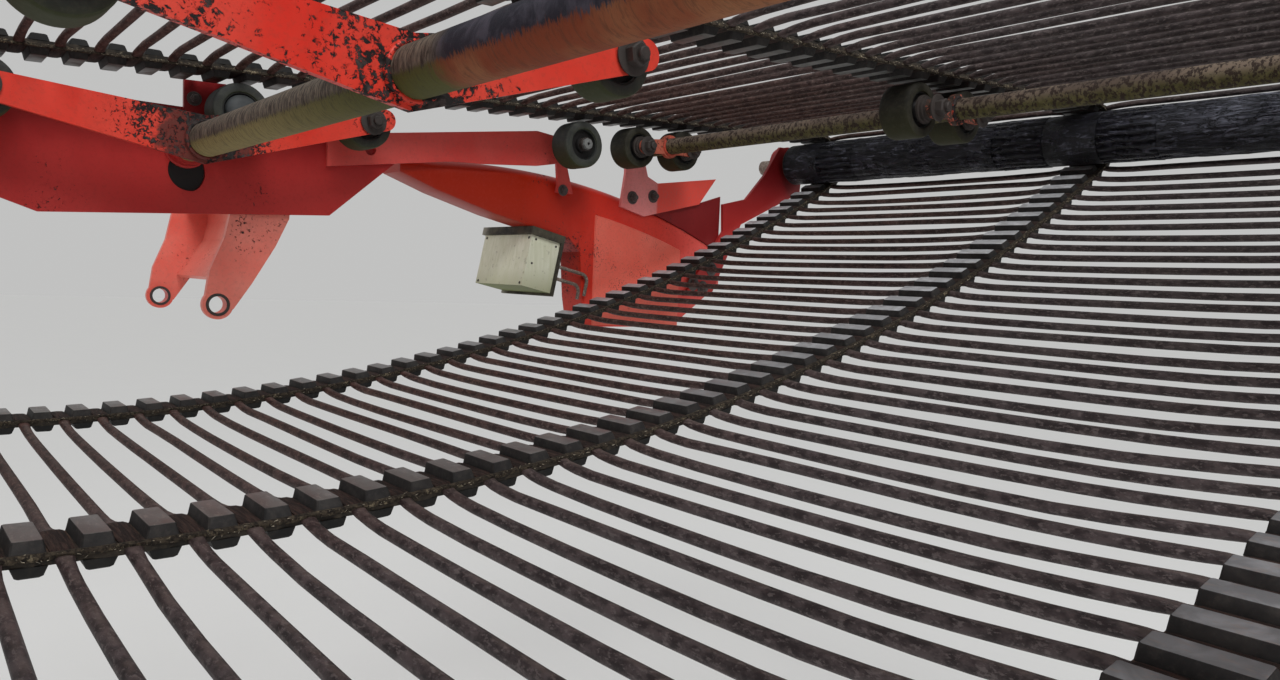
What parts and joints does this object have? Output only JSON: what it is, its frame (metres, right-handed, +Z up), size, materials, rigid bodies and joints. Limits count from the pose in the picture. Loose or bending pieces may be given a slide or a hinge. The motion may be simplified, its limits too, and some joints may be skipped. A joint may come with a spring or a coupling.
{
  "type": "rod web conveyor unit of a potato harvester",
  "caption": "Sieving web of a potato harvester: steel rods on cam belts round a drum and rollers, with rocking carriers, side plates and hinge brackets.",
  "frame": {"origin": "on the axis of the hinge bores, midway between the two side plates", "axes": "+X along the rods and the hinge axis, from the side with the lamp to the other; +Y along the conveyor towards the drive drum; +Z up"},
  "size_m": [2.504, 2.4811, 0.6922],
  "materials": {
    "belt_rubber": "worn, cracked and dusty, with frayed fabric edges",
    "rod_steel": "rusty and soiled",
    "drum_rubber": "matt, cracked",
    "shaft_steel": "rusty, rough",
    "roller_rubber": "worn and dusty",
    "red_paint": "faded, chipped, with dirt and rust",
    "lamp_casing": "weathered",
    "lamp_rim": "matt",
    "guard_steel": "rusty"
  },
  "bodies": {
    "conveyor": {"belt_left": "belt_rubber", "belt_middle": "belt_rubber", "belt_right": "belt_rubber", "web_rods": "rod_steel", "side_plate_left": "red_paint", "side_plate_right": "red_paint", "tail_arm_left": "red_paint", "tail_arm_right": "red_paint", "rail_left": "red_paint", "rail_right": "red_paint", "drum_plate_left": "red_paint", "drum_plate_right": "red_paint", "shaft_plate_left": "red_paint", "shaft_plate_right": "red_paint", "tail_tie": "red_paint", "rocker_tube": "shaft_steel", "carrier_left": "red_paint", "carrier_middle": "red_paint", "carrier_right": "red_paint", "pair_shaft": "shaft_steel", "idler_bracket_left": "red_paint", "idler_bracket_right": "red_paint", "roller_bar_left": "red_paint", "roller_bar_right": "red_paint", "hinge_bracket_left": "red_paint", "hinge_bracket_right": "red_paint", "lamp_body": "lamp_casing", "lamp_rim": "lamp_rim", "lamp_guard": "guard_steel"},
    "drum": {"drum": "drum_rubber"},
    "tail_roller_upper": {"tail_roller_upper": "shaft_steel"},
    "tail_roller_lower": {"tail_roller_lower": "shaft_steel"},
    "carrier_roller_left_front": {"carrier_roller_left_front": "roller_rubber"},
    "carrier_roller_left_rear": {"carrier_roller_left_rear": "roller_rubber"},
    "pair_roller_left_front": {"pair_roller_left_front": "roller_rubber"},
    "pair_roller_left_rear": {"pair_roller_left_rear": "roller_rubber"},
    "carrier_roller_middle_front": {"carrier_roller_middle_front": "roller_rubber"},
    "carrier_roller_middle_rear": {"carrier_roller_middle_rear": "roller_rubber"},
    "pair_roller_middle_front": {"pair_roller_middle_front": "roller_rubber"},
    "pair_roller_middle_rear": {"pair_roller_middle_rear": "roller_rubber"},
    "carrier_roller_right_front": {"carrier_roller_right_front": "roller_rubber"},
    "carrier_roller_right_rear": {"carrier_roller_right_rear": "roller_rubber"},
    "pair_roller_right_front": {"pair_roller_right_front": "roller_rubber"},
    "pair_roller_right_rear": {"pair_roller_right_rear": "roller_rubber"},
    "idler_left": {"idler_left": "roller_rubber"},
    "bar_roller_left": {"bar_roller_left": "roller_rubber"},
    "idler_right": {"idler_right": "roller_rubber"},
    "bar_roller_right": {"bar_roller_right": "roller_rubber"}
  },
  "joints": [
    {"name": "drum_spin", "type": "hinge", "parent": "conveyor", "child": "drum", "pos_m": [0, 1.507, 0.414], "axis": [1, 0, 0], "continuous": true},
    {"name": "tail_roller_upper_spin", "type": "hinge", "parent": "conveyor", "child": "tail_roller_upper", "pos_m": [0, -0.798, 0.285], "axis": [1, 0, 0], "continuous": true},
    {"name": "tail_roller_lower_spin", "type": "hinge", "parent": "conveyor", "child": "tail_roller_lower", "pos_m": [0, -0.68798, -0.07902], "axis": [1, 0, 0], "continuous": true},
    {"name": "carrier_roller_left_front_spin", "type": "hinge", "parent": "conveyor", "child": "carrier_roller_left_front", "pos_m": [-0.725, 0.222, 0.33802], "axis": [1, 0, 0], "continuous": true},
    {"name": "carrier_roller_left_rear_spin", "type": "hinge", "parent": "conveyor", "child": "carrier_roller_left_rear", "pos_m": [-0.725, -0.348, 0.31037], "axis": [1, 0, 0], "continuous": true},
    {"name": "pair_roller_left_front_spin", "type": "hinge", "parent": "conveyor", "child": "pair_roller_left_front", "pos_m": [-0.725, 1.007, 0.3857], "axis": [1, 0, 0], "continuous": true},
    {"name": "pair_roller_left_rear_spin", "type": "hinge", "parent": "conveyor", "child": "pair_roller_left_rear", "pos_m": [-0.725, 0.867, 0.37638], "axis": [1, 0, 0], "continuous": true},
    {"name": "carrier_roller_middle_front_spin", "type": "hinge", "parent": "conveyor", "child": "carrier_roller_middle_front", "pos_m": [0, 0.222, 0.33802], "axis": [1, 0, 0], "continuous": true},
    {"name": "carrier_roller_middle_rear_spin", "type": "hinge", "parent": "conveyor", "child": "carrier_roller_middle_rear", "pos_m": [0, -0.348, 0.31037], "axis": [1, 0, 0], "continuous": true},
    {"name": "pair_roller_middle_front_spin", "type": "hinge", "parent": "conveyor", "child": "pair_roller_middle_front", "pos_m": [0, 1.007, 0.3857], "axis": [1, 0, 0], "continuous": true},
    {"name": "pair_roller_middle_rear_spin", "type": "hinge", "parent": "conveyor", "child": "pair_roller_middle_rear", "pos_m": [0, 0.867, 0.37638], "axis": [1, 0, 0], "continuous": true},
    {"name": "carrier_roller_right_front_spin", "type": "hinge", "parent": "conveyor", "child": "carrier_roller_right_front", "pos_m": [0.725, 0.222, 0.33802], "axis": [1, 0, 0], "continuous": true},
    {"name": "carrier_roller_right_rear_spin", "type": "hinge", "parent": "conveyor", "child": "carrier_roller_right_rear", "pos_m": [0.725, -0.348, 0.31037], "axis": [1, 0, 0], "continuous": true},
    {"name": "pair_roller_right_front_spin", "type": "hinge", "parent": "conveyor", "child": "pair_roller_right_front", "pos_m": [0.725, 1.007, 0.3857], "axis": [1, 0, 0], "continuous": true},
    {"name": "pair_roller_right_rear_spin", "type": "hinge", "parent": "conveyor", "child": "pair_roller_right_rear", "pos_m": [0.725, 0.867, 0.37638], "axis": [1, 0, 0], "continuous": true},
    {"name": "idler_left_spin", "type": "hinge", "parent": "conveyor", "child": "idler_left", "pos_m": [-0.725, 0.004, 0.32675], "axis": [1, 0, 0], "continuous": true},
    {"name": "bar_roller_left_spin", "type": "hinge", "parent": "conveyor", "child": "bar_roller_left", "pos_m": [-0.725, 0.71, 0.36235], "axis": [1, 0, 0], "continuous": true},
    {"name": "idler_right_spin", "type": "hinge", "parent": "conveyor", "child": "idler_right", "pos_m": [0.725, 0.004, 0.32675], "axis": [1, 0, 0], "continuous": true},
    {"name": "bar_roller_right_spin", "type": "hinge", "parent": "conveyor", "child": "bar_roller_right", "pos_m": [0.725, 0.71, 0.36235], "axis": [1, 0, 0], "continuous": true}
  ],
  "couplings": [
    {"joint": "tail_roller_upper_spin", "follows": "drum_spin", "ratio": 1},
    {"joint": "tail_roller_lower_spin", "follows": "drum_spin", "ratio": 1},
    {"joint": "carrier_roller_left_front_spin", "follows": "drum_spin", "ratio": 1.6058},
    {"joint": "carrier_roller_left_rear_spin", "follows": "drum_spin", "ratio": 1.6058},
    {"joint": "pair_roller_left_front_spin", "follows": "drum_spin", "ratio": 1.6058},
    {"joint": "pair_roller_left_rear_spin", "follows": "drum_spin", "ratio": 1.6058},
    {"joint": "carrier_roller_middle_front_spin", "follows": "drum_spin", "ratio": 1.6058},
    {"joint": "carrier_roller_middle_rear_spin", "follows": "drum_spin", "ratio": 1.6058},
    {"joint": "pair_roller_middle_front_spin", "follows": "drum_spin", "ratio": 1.6058},
    {"joint": "pair_roller_middle_rear_spin", "follows": "drum_spin", "ratio": 1.6058},
    {"joint": "carrier_roller_right_front_spin", "follows": "drum_spin", "ratio": 1.6058},
    {"joint": "carrier_roller_right_rear_spin", "follows": "drum_spin", "ratio": 1.6058},
    {"joint": "pair_roller_right_front_spin", "follows": "drum_spin", "ratio": 1.6058},
    {"joint": "pair_roller_right_rear_spin", "follows": "drum_spin", "ratio": 1.6058},
    {"joint": "idler_left_spin", "follows": "drum_spin", "ratio": 1.6058},
    {"joint": "bar_roller_left_spin", "follows": "drum_spin", "ratio": 1.4773},
    {"joint": "idler_right_spin", "follows": "drum_spin", "ratio": 1.6058},
    {"joint": "bar_roller_right_spin", "follows": "drum_spin", "ratio": 1.4773}
  ]
}
